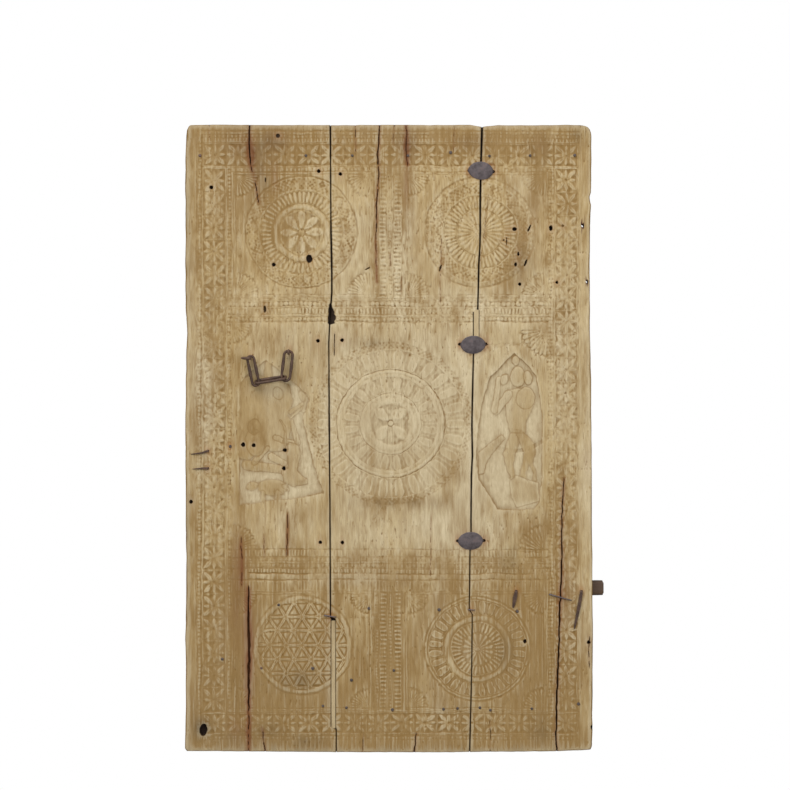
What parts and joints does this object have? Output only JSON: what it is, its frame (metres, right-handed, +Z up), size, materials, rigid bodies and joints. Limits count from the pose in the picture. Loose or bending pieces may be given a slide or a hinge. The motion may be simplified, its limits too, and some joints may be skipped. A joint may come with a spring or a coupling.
{
  "type": "carved temple door",
  "caption": "Weathered carved wooden door leaf of broad planks on battens, with rosettes, figure niches, iron clamps, clenched spikes and a swinging pull chain.",
  "frame": {"origin": "middle of the bottom edge, half way through the planks' thickness", "axes": "+Z up the door, +X to the right seen from the carved side, the carved face looks towards -Y"},
  "size_m": [1.217, 0.1206, 1.82],
  "materials": {
    "carved_wood": "weathered",
    "strip_wood": "weathered",
    "batten_wood": "rough",
    "dark_batten_wood": "worn",
    "forged_iron": "aged",
    "nail_iron": "aged"
  },
  "bodies": {
    "door_leaf": {"plank_left": "carved_wood", "plank_centre": "carved_wood", "plank_right": "carved_wood", "repair_strip_upper": "strip_wood", "repair_strip_lower": "strip_wood", "batten_top": "batten_wood", "batten_lower": "dark_batten_wood", "batten_bottom": "batten_wood", "joint_clamp_upper": "forged_iron", "joint_clamp_middle": "forged_iron", "joint_clamp_lower": "forged_iron", "chain_spike_left": "forged_iron", "chain_spike_right": "forged_iron", "edge_spike_upper": "forged_iron", "edge_spike_lower": "forged_iron", "batten_spike_long": "forged_iron", "batten_spike_short": "forged_iron", "split_staple": "forged_iron", "joint_staple_left": "forged_iron", "joint_staple_right": "forged_iron", "top_batten_nails": "nail_iron", "lower_batten_nails": "nail_iron", "bottom_batten_nails": "nail_iron", "stray_nail": "nail_iron"},
    "chain_left": {"chain_link_left": "forged_iron"},
    "chain_middle": {"chain_link_middle": "forged_iron"},
    "chain_right": {"chain_link_right": "forged_iron"}
  },
  "joints": [
    {"name": "left_link_swing", "type": "hinge", "parent": "door_leaf", "child": "chain_left", "pos_m": [-0.40148, -0.0395, 1.14809], "axis": [-0.9911, 0, -0.1332], "range_deg": [0, 45]},
    {"name": "right_link_swing", "type": "hinge", "parent": "door_leaf", "child": "chain_right", "pos_m": [-0.28913, -0.0395, 1.16319], "axis": [-0.9911, 0, -0.1332], "range_deg": [0, 45]},
    {"name": "middle_link_roll", "type": "hinge", "parent": "chain_left", "child": "chain_middle", "pos_m": [-0.38553, -0.0395, 1.07306], "axis": [0.9873, 0, 0.1588], "range_deg": [-42, 4]}
  ],
  "couplings": [
    {"joint": "right_link_swing", "follows": "left_link_swing", "ratio": 1}
  ]
}
